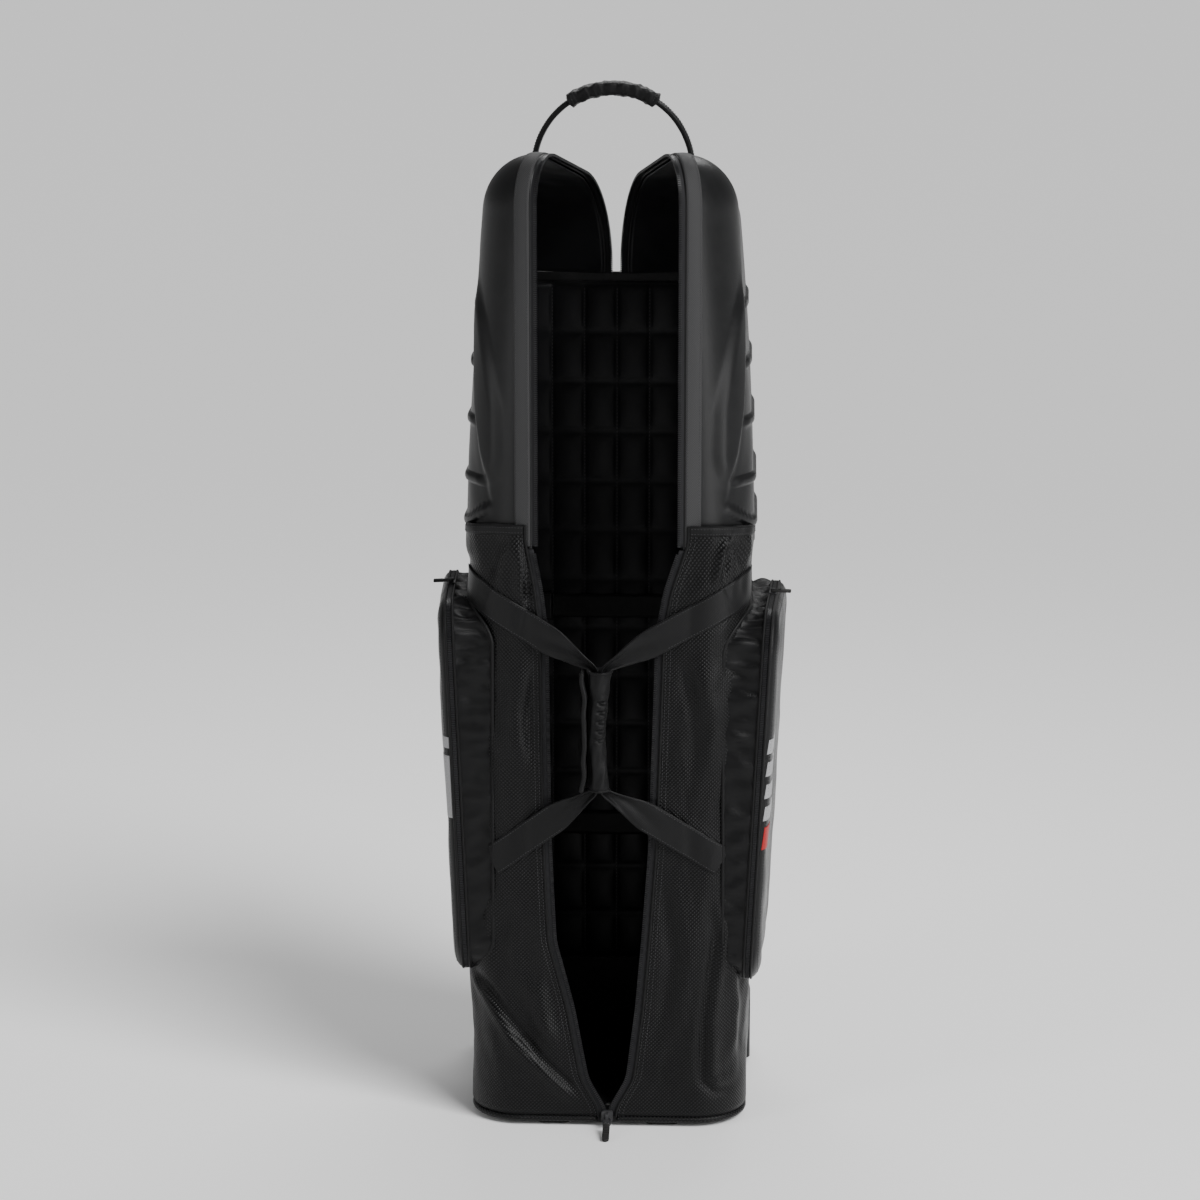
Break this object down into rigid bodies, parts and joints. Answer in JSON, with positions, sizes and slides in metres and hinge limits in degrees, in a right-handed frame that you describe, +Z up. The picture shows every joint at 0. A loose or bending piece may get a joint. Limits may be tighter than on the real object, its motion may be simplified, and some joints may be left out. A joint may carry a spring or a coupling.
{
  "type": "golf travel case",
  "caption": "Tall wheeled golf travel case, open: hard two-part top, padded fabric body slit by a long zip, gusseted side pockets, web carry handle and top bail handle.",
  "frame": {"origin": "middle of the case's footprint on the floor, under the centre of its overall box", "axes": "+Z up, front with the open zip towards -Y, +X to the viewer's right"},
  "size_m": [0.4754, 0.4266, 1.353],
  "materials": {
    "shell": "satin",
    "lining": "satin",
    "band": "matte",
    "zip": "matte",
    "cloth": "matte",
    "pocket_cloth": "matte",
    "webbing": "matte",
    "grip": "matte",
    "foam_pad": "matte",
    "board": "matte",
    "tray": "matte",
    "housing": "satin",
    "foot": "matte",
    "wheel_rubber": "matte",
    "hub": "gloss",
    "steel": "brushed",
    "black_metal": "satin",
    "pull_rubber": "matte",
    "buckle": "satin"
  },
  "bodies": {
    "case": {"base_tray": "tray", "front_feet": "foot", "floor_board": "board", "floor_rivets": "steel", "back_board": "board", "back_pad": "foam_pad", "skid_rails": "housing", "rail_screws": "steel", "carry_grip": "grip", "main_slider": "black_metal", "handle_brackets": "black_metal", "bracket_rivets": "steel", "hinge_piping": "cloth", "wheel_axles": "steel", "tie_straps": "webbing", "buckle_sockets": "buckle", "buckle_plugs": "buckle", "wheel_housing_left": "housing", "cloth_wall_left": "cloth", "cloth_collar_left": "cloth", "lower_zip_left": "zip", "pocket_gusset_left": "pocket_cloth", "pocket_zip_left": "zip", "pocket_door_left": "pocket_cloth", "carry_web_left": "webbing", "wheel_housing_right": "housing", "cloth_wall_right": "cloth", "cloth_collar_right": "cloth", "lower_zip_right": "zip", "pocket_gusset_right": "pocket_cloth", "pocket_zip_right": "zip", "pocket_door_right": "pocket_cloth", "carry_web_right": "webbing"},
    "bail_handle": {"handle_web": "webbing", "handle_grip": "grip", "handle_end_caps": "buckle"},
    "zip_pull": {"main_pull": "pull_rubber"},
    "left_top": {"hard_shell_left": "shell", "shell_lining_left": "lining", "shell_band_left": "band", "upper_zip_left": "zip"},
    "left_wheel": {"wheel_tyre_left": "wheel_rubber", "wheel_hub_left": "hub", "wheel_bearings_left": "steel"},
    "left_pocket_slider": {"pocket_slider_left": "black_metal"},
    "left_pocket_pull": {"pocket_pull_left": "pull_rubber"},
    "right_top": {"hard_shell_right": "shell", "shell_lining_right": "lining", "shell_band_right": "band", "upper_zip_right": "zip"},
    "right_wheel": {"wheel_tyre_right": "wheel_rubber", "wheel_hub_right": "hub", "wheel_bearings_right": "steel"},
    "right_pocket_slider": {"pocket_slider_right": "black_metal"},
    "right_pocket_pull": {"pocket_pull_right": "pull_rubber"}
  },
  "joints": [
    {"name": "left_top_hinge", "type": "hinge", "parent": "case", "child": "left_top", "pos_m": [-0.152, 0.17226, 0.94], "axis": [0, 0, 1], "range_deg": [0, 16]},
    {"name": "right_top_hinge", "type": "hinge", "parent": "case", "child": "right_top", "pos_m": [0.152, 0.17226, 0.94], "axis": [0, 0, -1], "range_deg": [0, 16]},
    {"name": "left_wheel_spin", "type": "hinge", "parent": "case", "child": "left_wheel", "pos_m": [-0.152, 0.15426, 0.038], "axis": [1, 0, 0], "continuous": true},
    {"name": "right_wheel_spin", "type": "hinge", "parent": "case", "child": "right_wheel", "pos_m": [0.152, 0.15426, 0.038], "axis": [1, 0, 0], "continuous": true},
    {"name": "bail_handle_fold", "type": "hinge", "parent": "case", "child": "bail_handle", "pos_m": [-0.007, 0.19626, 1.08], "axis": [-1, 0, 0], "range_deg": [0, 175]},
    {"name": "zip_pull_lift", "type": "hinge", "parent": "case", "child": "zip_pull", "pos_m": [0, -0.16474, 0.015], "axis": [-1, 0, 0], "range_deg": [0, 108]},
    {"name": "left_pocket_slide", "type": "slide", "parent": "case", "child": "left_pocket_slider", "axis": [-0.0506, 0.9987, 0], "range_m": [-0.06, 0.06]},
    {"name": "left_pocket_pull_lift", "type": "hinge", "parent": "left_pocket_slider", "child": "left_pocket_pull", "pos_m": [-0.21356, -0.00695, 0.70883], "axis": [-0.0506, 0.9987, 0], "range_deg": [0, 165]},
    {"name": "right_pocket_slide", "type": "slide", "parent": "case", "child": "right_pocket_slider", "axis": [0.0506, 0.9987, 0], "range_m": [-0.06, 0.06]},
    {"name": "right_pocket_pull_lift", "type": "hinge", "parent": "right_pocket_slider", "child": "right_pocket_pull", "pos_m": [0.21356, -0.00695, 0.69883], "axis": [-0.0506, -0.9987, 0], "range_deg": [0, 165]}
  ]
}
